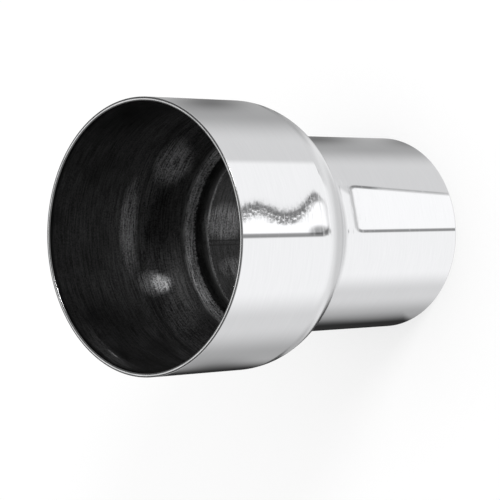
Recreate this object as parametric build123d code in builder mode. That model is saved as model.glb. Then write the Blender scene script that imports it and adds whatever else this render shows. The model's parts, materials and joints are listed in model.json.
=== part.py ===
from build123d import *

import os
from math import atan2, degrees

# Driving sizes, in millimetres. The pipe stands on its small end, with its axis along +Z.
large_diameter = 101.6  # outside of the large end, a 4 inch pipe
small_diameter = 76.2  # outside of the small end, a 3 inch pipe
wall = 1.5  # the same all along the pipe
large_length = 46.0  # straight run of the large end
step_length = 25.0  # formed stretch between the two straight runs
small_length = 65.0  # straight run of the small end
shoulder_to_neck = 2.3  # outside bend radius of the shoulder, over that of the neck
rim_chamfer = 0.3  # on the deburred edges of both ends
seam_width = 1.6  # weld bead along the bore of the small end
seam_height = 0.15

large_radius = large_diameter / 2
small_radius = small_diameter / 2
bore_radius = small_radius - wall
overall_length = small_length + step_length + large_length

# The neck and the shoulder are two arcs with one tangent where they meet,
# so the step alone sets their angle and what their radii add up to.
step_height = large_radius - small_radius
bend_angle = degrees(2 * atan2(step_height, step_length))
bend_radii = (step_height**2 + step_length**2) / (2 * step_height)
neck_radius = bend_radii / (1 + shoulder_to_neck)
shoulder_radius = bend_radii - neck_radius

# The bead's crown is an arc through both its edges and its top.
seam_crown = (seam_width**2 / 4 + seam_height**2) / (2 * seam_height)

with BuildPart() as reducer:
    # Wall section beside the axis, turned once round it
    with BuildSketch(Plane.XZ):
        with BuildLine():
            small_end = Line((small_radius, 0), (small_radius, small_length))
            neck = JernArc(small_end @ 1, small_end % 1, neck_radius, -bend_angle)
            shoulder = JernArc(neck @ 1, neck % 1, shoulder_radius, bend_angle)
            Line(shoulder @ 1, (large_radius, overall_length))
            offset(amount=wall, side=Side.LEFT)
        make_face()
    revolve(axis=Axis.Z)

    # Both rims, deburred inside and outside
    rings = reducer.edges().filter_by(GeomType.CIRCLE).group_by(Axis.Z)
    chamfer(rings[0] + rings[-1], length=rim_chamfer)

    # Seam bead, rooted in the wall on the +Y side
    with BuildSketch(Plane.XY.offset(rim_chamfer)):
        with Locations((0, bore_radius - seam_height + seam_crown)):
            Circle(seam_crown)
        Circle(bore_radius + wall / 2, mode=Mode.INTERSECT)
    extrude(amount=small_length - rim_chamfer)

os.makedirs("parts", exist_ok=True)
reducer.part.label = "reducer"
export_step(reducer.part, "parts/reducer.step")
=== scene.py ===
import json
import math

import bpy
from mathutils import Matrix, Vector


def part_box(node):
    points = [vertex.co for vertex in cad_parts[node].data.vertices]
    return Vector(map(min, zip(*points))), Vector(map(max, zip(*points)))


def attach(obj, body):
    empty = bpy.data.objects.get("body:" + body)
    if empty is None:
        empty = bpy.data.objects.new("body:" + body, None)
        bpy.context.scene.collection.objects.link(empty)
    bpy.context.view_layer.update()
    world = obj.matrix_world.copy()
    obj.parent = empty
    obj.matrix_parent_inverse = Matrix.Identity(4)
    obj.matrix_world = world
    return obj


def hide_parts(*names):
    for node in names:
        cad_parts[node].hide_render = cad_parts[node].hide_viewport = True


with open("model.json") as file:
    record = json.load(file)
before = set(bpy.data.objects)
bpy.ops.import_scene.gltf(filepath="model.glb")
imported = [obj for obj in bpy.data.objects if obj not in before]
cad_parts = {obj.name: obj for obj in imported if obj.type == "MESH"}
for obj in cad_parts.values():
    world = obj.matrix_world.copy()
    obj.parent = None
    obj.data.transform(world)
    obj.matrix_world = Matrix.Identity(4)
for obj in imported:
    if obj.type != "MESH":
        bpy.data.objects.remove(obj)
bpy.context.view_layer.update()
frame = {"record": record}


# Node helpers: sums on fields turn into Math nodes

class Field:
    def __init__(self, tree, socket):
        self.tree = tree
        self.socket = socket

    def calc(self, operation, *others):
        node = self.tree.nodes.new("ShaderNodeMath")
        node.operation = operation
        for socket, value in zip(node.inputs, (self, *others)):
            feed(self.tree, value, socket)
        return Field(self.tree, node.outputs[0])

    def __add__(self, other):
        return self.calc("ADD", other)

    def __sub__(self, other):
        return self.calc("SUBTRACT", other)

    def __mul__(self, other):
        return self.calc("MULTIPLY", other)

    def __truediv__(self, other):
        return self.calc("DIVIDE", other)

    def __rmul__(self, other):
        return self.calc("MULTIPLY", other)

    def __radd__(self, other):
        return self.calc("ADD", other)

    def __rsub__(self, other):
        return self.calc("MULTIPLY", -1.0).calc("ADD", other)


def feed(tree, value, socket):  # a field is linked, anything else becomes the socket's own value
    if isinstance(value, Field):
        tree.links.new(value.socket, socket)
    else:
        socket.default_value = value


def addNode(tree, kind, settings=None, **inputs):
    node = tree.nodes.new(kind)
    for name, value in (settings or {}).items():
        setattr(node, name, value)
    for name, value in inputs.items():
        feed(tree, value, node.inputs[name.replace("_", " ")])
    return node


def out(node, name=0):
    return Field(node.id_data, node.outputs[name])


def ramp(value, low, high, fromValue=0.0, toValue=1.0, smooth=False):
    node = value.tree.nodes.new("ShaderNodeMapRange")
    node.interpolation_type = "SMOOTHSTEP" if smooth else "LINEAR"
    for socket, given in zip(node.inputs, (value, low, high, fromValue, toValue)):
        feed(value.tree, given, socket)
    return out(node, "Result")


def vector(tree, x, y, z):
    return out(addNode(tree, "ShaderNodeCombineXYZ", X=x, Y=y, Z=z))


def parts(tree, value):
    node = addNode(tree, "ShaderNodeSeparateXYZ", Vector=value)
    return [out(node, name) for name in "XYZ"]


def noise(tree, where, scale, detail=2.0, roughness=0.5, seed=0.0):
    node = addNode(tree, "ShaderNodeTexNoise", {"noise_dimensions": "4D"}, Vector=where, Scale=scale,
                   Detail=detail, Roughness=roughness, W=seed)
    return out(node, 0)


# Turned grain: lines that run round the pipe, for every finish on it
grainFields = ("Lines", "Bands", "Clouds", "Specks")


def makeTurnedGrain():
    tree = bpy.data.node_groups.new("turnedGrain", "ShaderNodeTree")
    inputs = (("Place", "Vector", None), ("Around", "Float", 5.0),
              ("Fineness", "Float", 1500.0), ("Seed", "Float", 0.0))
    for name, kind, value in inputs:
        socket = tree.interface.new_socket(name, in_out="INPUT", socket_type="NodeSocket" + kind)
        if value is not None:
            socket.default_value = value
    for name in grainFields:
        tree.interface.new_socket(name, in_out="OUTPUT", socket_type="NodeSocketFloat")
    given = tree.nodes.new("NodeGroupInput")
    result = tree.nodes.new("NodeGroupOutput")
    place, around, fineness, seed = [out(given, name) for name in ("Place", "Around", "Fineness", "Seed")]
    x, y, z = parts(tree, place)
    radius = (x * x + y * y).calc("SQRT")
    along = radius + z  # grows along both walls, the step and the rims
    unitX = x / radius * around
    unitY = y / radius * around
    lines = noise(tree, vector(tree, unitX, unitY, along * fineness), 1.0, 2.0, 0.6, seed)
    wide = vector(tree, unitX * 0.4, unitY * 0.4, along * fineness * 0.12)
    bands = noise(tree, wide, 1.0, 2.0, 0.5, seed + 3.0)
    loose = vector(tree, unitX * 0.5, unitY * 0.5, along * 55.0)
    clouds = noise(tree, loose, 1.0, 3.0, 0.55, seed + 7.0)
    specks = noise(tree, place, fineness, 2.0, 0.7, seed + 11.0)
    for name, field in zip(grainFields, (lines, bands, clouds, specks)):
        feed(tree, field, result.inputs[name])
    return tree


turnedGrain = makeTurnedGrain()


def newFinish(name, grain):
    material = bpy.data.materials.new(name)
    material.use_nodes = True
    tree = material.node_tree
    shader = tree.nodes["Principled BSDF"]
    group = addNode(tree, "ShaderNodeGroup", {"node_tree": turnedGrain})
    feed(tree, out(tree.nodes.new("ShaderNodeTexCoord"), "Object"), group.inputs["Place"])
    for key, value in grain.items():
        group.inputs[key].default_value = value
    return material, tree, shader, [out(group, name) for name in grainFields]


def mixColour(tree, factor, dark, light):
    node = addNode(tree, "ShaderNodeMix", {"data_type": "RGBA"})
    feed(tree, factor, node.inputs[0])
    for socket, colour in ((node.inputs[6], dark), (node.inputs[7], light)):
        feed(tree, colour if isinstance(colour, Field) else (*colour, 1.0), socket)
    return out(node, 2)


def bumpFrom(tree, height, strength, distance):
    return out(addNode(tree, "ShaderNodeBump", Strength=strength, Distance=distance, Height=height))


# Outside: polished, with fine lines left by the wheel
polished = {
    "grain": {"Around": 5.0, "Fineness": 1200.0, "Seed": 1.0},
    "dark": (0.754, 0.757, 0.769), "light": (0.783, 0.785, 0.797),
    "roughness": (0.01, 0.08), "hairlines": (0.54, 0.72), "lineDepth": 0.0000001,
    "step": (64.9, 90.0), "stepSoft": (0.3, 0.6), "stepRoughness": 0.17,  # millimetres up, less fine
}


def makePolished():
    material, tree, shader, (lines, bands, *_) = newFinish("polishedSteel", polished["grain"])
    tone = ramp(lines * 0.7 + bands * 0.3, 0.3, 0.7)
    feed(tree, mixColour(tree, tone, polished["dark"], polished["light"]), shader.inputs["Base Color"])
    z = parts(tree, out(tree.nodes.new("ShaderNodeTexCoord"), "Object"))[2] * 1000.0
    low, high = polished["step"]
    lowSoft, highSoft = polished["stepSoft"]
    step = ramp(z, low, low + lowSoft) * ramp(z, high, high - highSoft) * polished["stepRoughness"]
    fine = ramp(lines, *polished["hairlines"], *polished["roughness"])
    feed(tree, fine.calc("MAXIMUM", step), shader.inputs["Roughness"])
    feed(tree, bumpFrom(tree, lines, 1.0, polished["lineDepth"]), shader.inputs["Normal"])
    shader.inputs["Metallic"].default_value = 1.0
    return material


# Bore: left dark and scaly from forming, with painted highlights and painted shade in rings by height, and
# painted highlights in places
bore = {
    "grain": {"Around": 5.0, "Fineness": 1500.0, "Seed": 5.0},
    "rings": (  # millimetres up, and how light it is there: the dark forming scale, with painted highlights in the light bands at the neck and painted shade in the near-black bands in the neck, at the shoulder's start and under the mouth
        (0, 0.04), (63.0, 0.04), (63.3, 0.22), (63.9, 0.22), (64.4, 0.015), (69.6, 0.015), (70.2, 0.2),
        (72.8, 0.16), (73.6, 0.02), (76, 0.024), (84, 0.05), (88.6, 0.05), (89.6, 0.015), (90.6, 0.05),
        (97, 0.045), (103, 0.03), (115, 0.022), (133.8, 0.02), (135, 0.002), (136, 0.002)),
    "paintedHighlights": (  # painted highlights where the lamp glints in the bore: degrees round, millimetres up, their reach, gain
        (108, 83, 5.5, 4.5, 0.6), (107.5, 86, 8, 9, 0.14), (80, 95.5, 26, 5.5, 0.1),
        (47, 82.5, 16, 8, 0.16), (77, 55, 14, 14, 0.2), (107, 50, 10, 12, 0.12),
        (147, 128.3, 5, 0.6, 0.3), (150, 130, 22, 5, 0.045)),
    "ringBlur": 1.6, "streaks": (0.4, 0.61, 0.08, 2.0), "patches": (0.3, 0.7, 0.55, 1.45),
    "bright": 0.5, "roughness": (0.38, 0.55), "lineDepth": 0.00003,
    "seamEdge": 0.9, "seamLine": 0.45, "seamTop": 63.3,
}


def makeBore():
    material, tree, shader, (lines, bands, clouds, specks) = newFinish("darkBore", bore["grain"])
    x, y, z = [part * 1000.0 for part in parts(tree, out(tree.nodes.new("ShaderNodeTexCoord"), "Object"))]
    top = bore["rings"][-1][0]
    # bore tone by height: dark scale, with painted highlight bands and painted shade bands
    rings = addNode(tree, "ShaderNodeValToRGB", Fac=(z + (specks - 0.5) * bore["ringBlur"]) / top)
    stops = rings.color_ramp.elements
    while len(stops) < len(bore["rings"]):
        stops.new(0.5)
    for stop, (height, tone) in zip(stops, bore["rings"]):
        stop.position = height / top
        stop.color = (tone, tone, tone, 1.0)
    light = out(rings)
    angle = y.calc("ARCTAN2", x) * (180 / math.pi)
    # each entry adds a soft painted highlight to the bore's colour
    for middle, height, reach, rise, gain in bore["paintedHighlights"]:
        across = (angle - middle) / reach
        up = (z - height) / rise
        light = light + ramp(across * across + up * up, 1.0, 0.0, 0.0, gain, smooth=True)
    light = light * ramp(lines * 0.5 + specks * 0.5, *bore["streaks"]) * ramp(clouds, *bore["patches"])

    # the seam's two edges
    toEdge = ((x + (specks - 0.5) * 0.8).calc("ABSOLUTE") - bore["seamEdge"]).calc("ABSOLUTE")
    seamReach = ramp(z, bore["seamTop"], bore["seamTop"] - 0.5) * ramp(y, 0.0, 5.0)
    seam = ramp(toEdge, bore["seamLine"], 0.1) * seamReach
    light = light * (1.0 - seam * 0.8)
    feed(tree, mixColour(tree, light, (0.0, 0.0, 0.0), (1.0, 1.0, 1.02)), shader.inputs["Base Color"])
    feed(tree, ramp(clouds, 0.3, 0.7, *bore["roughness"]), shader.inputs["Roughness"])
    height = lines * 0.6 + bands + specks * 0.3
    feed(tree, bumpFrom(tree, height, 1.0, bore["lineDepth"]), shader.inputs["Normal"])
    shader.inputs["Metallic"].default_value = bore["bright"]
    return material


# Rims: cut square and deburred
rim = {
    "grain": {"Around": 14.0, "Fineness": 3000.0, "Seed": 9.0},
    "dark": (0.6, 0.605, 0.61), "light": (0.82, 0.82, 0.825),
    "roughness": (0.15, 0.24), "lineDepth": 0.000002,
}


def makeRim():
    material, tree, shader, (lines, bands, *_) = newFinish("cutRim", rim["grain"])
    tone = ramp(bands, 0.3, 0.7)
    feed(tree, mixColour(tree, tone, rim["dark"], rim["light"]), shader.inputs["Base Color"])
    feed(tree, ramp(lines, 0.25, 0.8, *rim["roughness"]), shader.inputs["Roughness"])
    feed(tree, bumpFrom(tree, lines, 1.0, rim["lineDepth"]), shader.inputs["Normal"])
    shader.inputs["Metallic"].default_value = 1.0
    return material


finishes = [makePolished(), makeBore(), makeRim()]
print("finishes:", [finish.name for finish in finishes])


# The reducer: four sheets turned round +Z and joined into one closed shell
mounts = {mount["name"]: mount["dims"] for mount in frame["record"]["mounts"]}
lowCorner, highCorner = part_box("reducer")
largeRadius = mounts["large_outside"]["r_mm"] / 1000
reducer = {
    "Large Radius": largeRadius,
    "Small Radius": mounts["small_outside"]["r_mm"] / 1000,
    "Wall": largeRadius - mounts["large_socket"]["r_mm"] / 1000,
    "Large Run": mounts["large_outside"]["length_mm"] / 1000,  # straight, up to the rim's rounding
    "Small Run": mounts["small_outside"]["length_mm"] / 1000,
    "Length": highCorner.z,
    "Bend Ratio": 2.3,  # outside bend of the shoulder over that of the neck
    "Rim Round": 0.0003,
    "Seam Width": 0.0016,
    "Seam Height": 0.00015,
    "Seam Crowding": 0.75,  # how far the columns draw together at the seam
    "Ring Depth": 0.00003,  # forming marks in the bore
    "Around": 288,
    "Outer Rows": 120,
    "Inner Rows": 160,
    "Rim Rows": 12,
    "Seed": 7,
}
rowShares = (0.2, 0.45, 0.8)  # where along the rows the neck, the shoulder and the large run begin


def makeReducerTree():
    tree = bpy.data.node_groups.new("reducerShell", "GeometryNodeTree")
    tree.is_modifier = True
    for name, value in reducer.items():
        kind = "NodeSocketInt" if isinstance(value, int) else "NodeSocketFloat"
        tree.interface.new_socket(name, in_out="INPUT", socket_type=kind)
    tree.interface.new_socket("Shell", in_out="OUTPUT", socket_type="NodeSocketGeometry")
    given = tree.nodes.new("NodeGroupInput")
    size = {name: out(given, name) for name in reducer}
    wall, rimRound = size["Wall"], size["Rim Round"]

    # each sheet starts as a tube one unit high, so its height counts the rows and its angle the columns
    x, y, z = parts(tree, out(tree.nodes.new("GeometryNodeInputPosition")))
    row = z + 0.5
    column = y.calc("ARCTAN2", x)
    angle = column + size["Seam Crowding"] * column.calc("COSINE")

    # neck and shoulder are two arcs with one tangent where they meet
    stepHeight = size["Large Radius"] - size["Small Radius"]
    stepLength = size["Length"] - size["Large Run"] - size["Small Run"] - rimRound * 2.0
    bend = stepHeight.calc("ARCTAN2", stepLength) * 2.0
    bothRadii = (stepHeight * stepHeight + stepLength * stepLength) / (stepHeight * 2.0)
    neckRadius = bothRadii / (size["Bend Ratio"] + 1.0)
    shoulderRadius = bothRadii - neckRadius
    neckTurn = ramp(row, rowShares[0], rowShares[1], 0.0, bend)
    shoulderTurn = ramp(row, rowShares[1], rowShares[2], 0.0, bend)
    left = bend - shoulderTurn
    slope = neckTurn - shoulderTurn
    outerRadius = (size["Small Radius"] + neckRadius * (1.0 - neckTurn.calc("COSINE"))
                   + shoulderRadius * (left.calc("COSINE") - bend.calc("COSINE")))
    outerHeight = (rimRound + ramp(row, 0.0, rowShares[0], 0.0, size["Small Run"], smooth=True)
                   + neckRadius * neckTurn.calc("SINE")
                   + shoulderRadius * (bend.calc("SINE") - left.calc("SINE"))
                   + ramp(row, rowShares[2], 1.0, 0.0, size["Large Run"], smooth=True))
    innerRadius = outerRadius - wall * slope.calc("COSINE")
    innerHeight = outerHeight + wall * slope.calc("SINE")

    # weld bead along the small bore, on the +Y side, fading into the neck and at the foot
    fromSeam = (angle - math.pi / 2) * innerRadius
    across = fromSeam * 2.0 / size["Seam Width"]
    crown = (1.0 - across * across).calc("MAXIMUM", 0.0)
    crown = crown * ramp(row, 0.0, 0.012, smooth=True)
    crown = crown * ramp(row, rowShares[0] + 0.05, rowShares[0], smooth=True)
    alongBore = (innerRadius + innerHeight) * 420.0
    around = vector(tree, angle.calc("COSINE") * 1.5, angle.calc("SINE") * 1.5, alongBore)
    rings = noise(tree, around, 1.0, 2.0, 0.6, size["Seed"])
    ends = ramp(row, 0.0, 0.02) * ramp(row, 1.0, 0.98)
    innerRadius = innerRadius - size["Seam Height"] * crown + size["Ring Depth"] * (rings - 0.5) * ends

    # rims: rounded over, outside to inside at the mouth and inside to outside under the foot
    turn = row * math.pi
    rimAcross = turn.calc("COSINE") * wall * 0.5
    rimRise = turn.calc("SINE") * rimRound
    mouthRadius = size["Large Radius"] - wall * 0.5 + rimAcross
    mouthHeight = size["Length"] - rimRound + rimRise
    footRadius = size["Small Radius"] - wall * 0.5 - rimAcross
    footHeight = rimRound - rimRise

    join = tree.nodes.new("GeometryNodeJoinGeometry")
    sheets = (("Outer Rows", outerRadius, outerHeight, 0), ("Inner Rows", innerRadius, innerHeight, 1),
              ("Rim Rows", mouthRadius, mouthHeight, 2), ("Rim Rows", footRadius, footHeight, 2))
    for rows, radius, height, zone in sheets:
        tube = addNode(tree, "GeometryNodeMeshCylinder", {"fill_type": "NONE"}, Vertices=size["Around"],
                       Side_Segments=size[rows], Radius=1.0, Depth=1.0)
        place = vector(tree, radius * angle.calc("COSINE"), radius * angle.calc("SINE"), height)
        sheet = out(addNode(tree, "GeometryNodeSetPosition", Geometry=out(tube, "Mesh"), Position=place))
        if zone == 1:
            sheet = out(addNode(tree, "GeometryNodeFlipFaces", Mesh=sheet))
        mark = addNode(tree, "GeometryNodeStoreNamedAttribute", {"data_type": "INT", "domain": "FACE"},
                       Geometry=sheet, Name="zone", Value=zone)
        tree.links.new(mark.outputs[0], join.inputs[0])
    shell = out(addNode(tree, "GeometryNodeMergeByDistance", Geometry=out(join), Distance=0.00001))
    shell = out(addNode(tree, "GeometryNodeSetShadeSmooth", Geometry=shell))
    shell = out(addNode(tree, "GeometryNodeRealizeInstances", Geometry=shell))
    shell = out(addNode(tree, "GeometryNodeSetMaterial", Geometry=shell, Material=finishes[0]))
    zone = out(addNode(tree, "GeometryNodeInputNamedAttribute", {"data_type": "INT"}, Name="zone"))
    for number in (1, 2):
        same = addNode(tree, "FunctionNodeCompare", {"data_type": "INT", "operation": "EQUAL"})
        feed(tree, zone, same.inputs[2])
        same.inputs[3].default_value = number
        shell = out(addNode(tree, "GeometryNodeSetMaterial", Geometry=shell, Selection=out(same),
                            Material=finishes[number]))
    feed(tree, shell, tree.nodes.new("NodeGroupOutput").inputs[0])
    return tree


def toPiece(name, tree, values):  # runs the tree once and keeps its result as a plain mesh
    maker = bpy.data.objects.new(name + "Maker", bpy.data.meshes.new(name + "Maker"))
    bpy.context.scene.collection.objects.link(maker)
    modifier = maker.modifiers.new("shell", "NODES")
    modifier.node_group = tree
    for item in tree.interface.items_tree:
        if item.in_out == "INPUT":
            modifier[item.identifier] = values[item.name]
    graph = bpy.context.evaluated_depsgraph_get()
    mesh = bpy.data.meshes.new_from_object(maker.evaluated_get(graph), depsgraph=graph)
    bpy.data.objects.remove(maker)
    mesh.name = name
    mesh.materials.pop(index=0)  # the empty slot that a new tube brings with it
    piece = bpy.data.objects.new(name, mesh)
    bpy.context.scene.collection.objects.link(piece)
    return piece


reducerShell = toPiece("reducerShell", makeReducerTree(), reducer)
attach(reducerShell, "root")
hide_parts("reducer")
print("reducer shell:", len(reducerShell.data.polygons), "faces,", reducerShell.data.materials.keys())


# Camera, turned with the photograph, which shows the pipe on its side
photoView = {
    "lens": 160.39,
    "heading": 3.844, "elevation": 46.753, "roll": 91.551,  # degrees
    "aim": (-0.00505, 0.01012, 0.068), "distance": 0.86137,
}


def makeCamera():
    heading, elevation, roll = [math.radians(photoView[key]) for key in ("heading", "elevation", "roll")]
    forward = Vector((math.sin(heading) * math.cos(elevation), math.cos(heading) * math.cos(elevation),
                      -math.sin(elevation)))
    level = forward.cross(Vector((0, 0, 1))).normalized()
    up = level.cross(forward) * math.cos(roll) + level * math.sin(roll)
    right = forward.cross(up)
    camera = bpy.data.objects.new("photoCamera", bpy.data.cameras.new("photoCamera"))
    camera.data.lens = photoView["lens"]
    camera.matrix_world = Matrix.Translation(Vector(photoView["aim"]) - forward * photoView["distance"]) \
        @ Matrix((right, up, -forward)).transposed().to_4x4()
    bpy.context.scene.collection.objects.link(camera)
    bpy.context.scene.camera = camera


makeCamera()

# Studio: pale floor, one soft lamp, and a room that only the metal sees
studio = {
    "floorSize": 6.0, "floorColour": (0.95, 0.95, 0.95), "floorGlow": 0.6,
    "lampSize": 0.25, "lampPower": 3.0, "lampPlace": (0.52, -0.58, 0.7), "lampAim": (0, 0, 0.07),
    "roomLight": 1.0,
}
room = {  # brightness, where 1 is white, and degrees; pairs are where a change starts and ends
    "front": 1.14, "frontTop": 31.5, "frontSoft": 1.5, "frontFoot": (-38.0, -24.0), "farDip": 4.0,
    "nearPart": (49.3, 48.8), "sides": 0.82, "back": 0.46, "sidesEnd": (60.0, 42.0),
    "sway": 0.55, "swayStart": 45.7, "swayStep": 2.75, "swayFrom": (43.5, 44.5), "swayTo": (52.0, 51.0),
    "swaySides": (58.0, 74.0),
    "under": 0.03, "underLower": (47.3, 48.3), "underDeepest": (50.6, 51.2), "underFade": (76.0, 62.0),
    "darkEnd": (8.0, -80.0), "darkStart": (11.0, -66.0), "crease": (48.0, 1.55, -88.0),
    "creaseReach": (-3.0, 2.0), "behind": (84.0, 90.0),
    "floor": 0.95, "below": 0.74, "floorFrom": (54.0, 64.0), "belowFrom": (64.0, 76.0),
    "window": 1.32, "frame": 0.3, "frameThick": 1.35, "frameSoft": (1.0, 0.3), "glassEdge": (0.3, -0.3),
    "near": {"foot": -0.7, "top": 8.3, "end": 48.86, "stretch": 14.0, "corner": 4.0}, "nearLean": 0.012,
    "nearWave": (1.9, 46.95, 1.5), "nearRise": (48.0, 48.55, 5.6), "nearRough": 7.0, "nearThick": 4.4,
    "nearUpper": (2.0, 5.0), "nearRagged": (48.5, 48.3), "nearBand": (48.6, 48.4),
    "nearStrokes": (0.35, 15.0), "nearGrit": (0.9, 20.0), "gritGaps": (0.5, 0.62), "gritReach": (1.8, -0.6),
    "nearPale": (48.5, 48.66, 0.0, 0.7), "nearHalo": (7.0, 0.5, 0.0, 0.17), "nearDark": 0.1,
    "nearSmudge": {"side": 0.4, "drop": 48.56, "reach": 3.6, "width": 0.34, "tone": 0.66, "edge": 0.5},
    "far": {"foot": 0.6, "top": 27.1, "start": 49.53, "end": 52.6, "stretch": 21.0, "corner": 3.0},
    "farWindow": 1.23, "farSlant": 2.1, "farMiddle": 49.85, "farLean": 0.007,
    "farPaleSide": (0.08, -0.02, 0.0, 0.5), "farPaleTop": (8.0, 14.0), "farPaleEnd": (49.85, 50.2, 0.0, 0.5),
    "even": (0.7, 0.3), "evenStep": 45.0, "evenDark": 0.85,
    "evenSides": (60.0, 75.0), "evenDrop": (16.0, 6.0), "horizon": (32.0, 42.0),
    "ceiling": 0.1, "frontPanel": 0.15, "frontReach": (60.0, 20.0), "overhead": (-4.0, 4.0),
    "panel": 1.0, "panelReach": 14.0, "panelSoft": 8.0, "panelWay": (0.684, 0.729),  # along +Y and +Z
}


def makeFloor():
    half = studio["floorSize"] / 2
    mesh = bpy.data.meshes.new("floor")
    corners = [(-half, -half, 0), (half, -half, 0), (half, half, 0), (-half, half, 0)]
    mesh.from_pydata(corners, [], [(0, 1, 2, 3)])
    floor = bpy.data.objects.new("floor", mesh)
    bpy.context.scene.collection.objects.link(floor)
    material = bpy.data.materials.new("paleFloor")
    material.use_nodes = True
    tree = material.node_tree
    tree.nodes.clear()
    matte = addNode(tree, "ShaderNodeBsdfDiffuse", Color=(*studio["floorColour"], 1.0))
    glow = addNode(tree, "ShaderNodeEmission", Strength=1.0)
    seen = out(tree.nodes.new("ShaderNodeLightPath"), "Is Camera Ray") * studio["floorGlow"]
    mix = tree.nodes.new("ShaderNodeMixShader")
    feed(tree, seen, mix.inputs[0])
    tree.links.new(matte.outputs[0], mix.inputs[1])
    tree.links.new(glow.outputs[0], mix.inputs[2])
    tree.links.new(mix.outputs[0], tree.nodes.new("ShaderNodeOutputMaterial").inputs[0])
    mesh.materials.append(material)
    floor.visible_glossy = False  # the metal mirrors the room instead


def makeLamp():
    lamp = bpy.data.objects.new("softLamp", bpy.data.lights.new("softLamp", "AREA"))
    lamp.data.size = studio["lampSize"]
    lamp.data.energy = studio["lampPower"]
    lamp.location = studio["lampPlace"]
    toPart = Vector(studio["lampAim"]) - lamp.location
    lamp.rotation_mode = "QUATERNION"
    lamp.rotation_quaternion = toPart.to_track_quat("-Z", "Y")
    bpy.context.scene.collection.objects.link(lamp)


def paneEdge(side, drop, top, start, pane):  # degrees outside a pane with rounded corners
    across = (pane["foot"] - side).calc("MAXIMUM", side - top) + pane["corner"]
    along = (start - drop).calc("MAXIMUM", drop - pane["end"]) * pane["stretch"] + pane["corner"]
    outAcross = across.calc("MAXIMUM", 0.0)
    outAlong = along.calc("MAXIMUM", 0.0)
    beyond = (outAcross * outAcross + outAlong * outAlong).calc("SQRT")
    return beyond + across.calc("MAXIMUM", along).calc("MINIMUM", 0.0) - pane["corner"]


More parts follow.
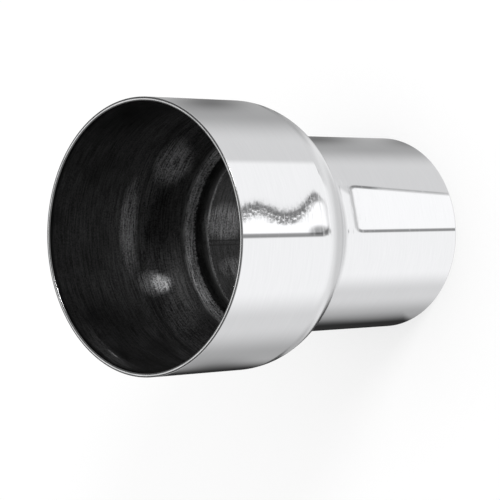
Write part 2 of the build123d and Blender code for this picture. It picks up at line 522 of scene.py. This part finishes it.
def makeRoom():
    world = bpy.data.worlds.new("studioRoom")
    bpy.context.scene.world = world
    world.use_nodes = True
    world.cycles.sampling_method = "NONE"
    tree = world.node_tree
    tree.nodes.clear()
    x, y, z = parts(tree, out(tree.nodes.new("ShaderNodeTexCoord"), "Generated"))
    # half the bearing from the photograph's view, which is where round the pipe that view mirrors it
    side = (x.calc("ARCTAN2", y * -1.0) * (180 / math.pi) + photoView["heading"]) * 0.5
    drop = z.calc("ARCSINE") * (-180 / math.pi)
    away = side.calc("ABSOLUTE")

    # walls: white in front, grey at the sides and behind, nearly black low on one side
    soft = room["frontSoft"]
    farFront = room["far"]["top"] - room["farDip"]
    frontTop = farFront + ramp(drop, *room["nearPart"]) * (room["frontTop"] - farFront)
    front = ramp(side - frontTop, soft, -soft, smooth=True) * ramp(side, *room["frontFoot"], smooth=True)
    walls = ramp(away, *room["sidesEnd"], room["back"], room["sides"], smooth=True)
    walls = walls + front * (room["front"] - room["sides"])
    sway = ((drop - room["swayStart"]) * (2 * math.pi / room["swayStep"])).calc("COSINE") * 0.5 + 0.5
    sway = sway * ramp(drop, *room["swayFrom"]) * ramp(drop, *room["swayTo"])
    walls = walls * (1.0 - sway * ramp(away, *room["swaySides"], 0.0, room["sway"], smooth=True))
    lower = ramp(drop, *room["underLower"])
    deepest = ramp(drop, *room["underDeepest"])
    bend, steep, bottom = room["crease"]
    crease = (drop - bend) * steep + bottom
    creaseEnd, creaseStart = room["creaseReach"]
    gain, base = room["darkEnd"]
    darkEnd = lower * gain + base
    darkEnd = darkEnd + deepest * (crease + creaseEnd - darkEnd)
    gain, base = room["darkStart"]
    darkStart = lower * gain + base
    darkStart = darkStart + deepest * (crease + creaseStart - darkStart)
    under = ramp(side, darkStart, darkEnd, smooth=True) + ramp(side, *room["behind"], smooth=True)
    under = under * ramp(drop, *room["underFade"], smooth=True)
    floor = ramp(drop, *room["belowFrom"], room["floor"], room["below"], smooth=True)
    walls = walls + ramp(drop, *room["floorFrom"], smooth=True) * (floor - walls)
    walls = walls + under * (room["under"] - walls)

    # near window: its upper edge waves and is ragged, and its lower far corner is smudged
    height, middle, length = room["nearWave"]
    wave = ((drop - middle) * (2 * math.pi / length)).calc("COSINE") * height
    first, last, rise = room["nearRise"]
    nearTop = wave + room["near"]["top"] + ramp(drop, first, last, 0.0, rise, smooth=True)
    low, high = [room["near"]["foot"] + reach for reach in room["nearUpper"]]
    upper = ramp(side, low, high)
    ragged = upper * ramp(drop, *room["nearRagged"])
    across, along = room["nearStrokes"]
    strokes = noise(tree, vector(tree, side * across, drop * along, 0.0), 1.0, 2.0, 0.7, 2.0)
    across, along = room["nearGrit"]
    grit = noise(tree, vector(tree, side * across, drop * along, 5.0), 1.0, 1.0, 0.7, 2.0)
    edge = paneEdge(side, drop + side * room["nearLean"], nearTop, 0.0, room["near"])
    edge = edge + (strokes - 0.5) * ragged * room["nearRough"]
    level = walls + ramp(edge, *room["glassEdge"]) * (room["window"] - walls)
    wider = room["nearThick"] - room["frameThick"]
    thick = upper * ramp(drop, *room["nearBand"]) * wider + room["frameThick"]
    dark = ramp(edge.calc("ABSOLUTE") / thick, *room["frameSoft"], 0.0, 1.0 - room["frame"], smooth=True)
    broken = ragged * ramp(edge, *room["gritReach"]) * ramp(grit, *room["gritGaps"])
    pale = upper * ramp(drop, *room["nearPale"])
    outside = 1.0 - ramp(edge, *room["glassEdge"])
    halo = ragged * ramp(edge, *room["nearHalo"], smooth=True) * outside
    level = level * (1.0 - halo)
    level = level * (1.0 - dark * (1.0 - broken) * (1.0 - pale) * (1.0 + ragged * room["nearDark"]))
    smudge = room["nearSmudge"]
    across = (side - smudge["side"]) / smudge["reach"]
    along = (drop - smudge["drop"]) / smudge["width"]
    spot = ramp(across * across + along * along, 1.0, 0.0, 0.0, smudge["tone"], smooth=True)
    level = level * (1.0 - spot * ramp(edge, smudge["edge"], -smudge["edge"]))

    # far window: its frame is paler at the near end and along the top
    farTop = room["far"]["top"] - (drop - room["farMiddle"]) * room["farSlant"]
    farStart = room["far"]["start"] - side * room["farLean"]
    edge = paneEdge(side, drop, farTop, farStart, room["far"])
    level = level + ramp(edge, *room["glassEdge"]) * (room["farWindow"] - level)
    far = edge.calc("ABSOLUTE") / room["frameThick"]
    dark = ramp(far, *room["frameSoft"], 0.0, 1.0 - room["frame"], smooth=True)
    pale = ramp(drop - farStart, *room["farPaleSide"])
    pale = pale + ramp(side, *room["farPaleTop"]) * ramp(drop, *room["farPaleEnd"])
    level = level * (1.0 - dark * (1.0 - pale))

    # nearer the horizon the room is light and grey by turns
    middle, swing = room["even"]
    even = middle - (side * (math.pi / room["evenStep"])).calc("COSINE") * swing
    even = even * (1.0 - ramp(away, *room["evenSides"]) * ramp(drop, *room["evenDrop"]) * room["evenDark"])
    level = even + ramp(drop, *room["horizon"], smooth=True) * (level - even)

    # overhead it is dark, with one lit panel behind and a dim one in front
    overhead = room["ceiling"] + ramp(away, *room["frontReach"], 0.0, room["frontPanel"], smooth=True)
    back, up = room["panelWay"]
    panel = (y * back + z * up).calc("ARCCOSINE") * (180 / math.pi)
    inner = room["panelReach"] - room["panelSoft"]
    overhead = overhead + ramp(panel, room["panelReach"], inner, 0.0, room["panel"], smooth=True)
    level = overhead + ramp(drop, *room["overhead"], smooth=True) * (level - overhead)

    path = tree.nodes.new("ShaderNodeLightPath")
    seen = out(path, "Is Camera Ray")
    mirrored = out(path, "Is Glossy Ray")
    level = mirrored * level + (1.0 - mirrored) * studio["roomLight"]
    level = seen + (1.0 - seen) * level
    back = addNode(tree, "ShaderNodeBackground", Color=(1.0, 1.0, 1.0, 1.0), Strength=level)
    tree.links.new(back.outputs[0], tree.nodes.new("ShaderNodeOutputWorld").inputs[0])


makeFloor()
makeLamp()
makeRoom()
bpy.context.scene.view_settings.view_transform = "Standard"
print("studio: floor, lamp, room and camera")
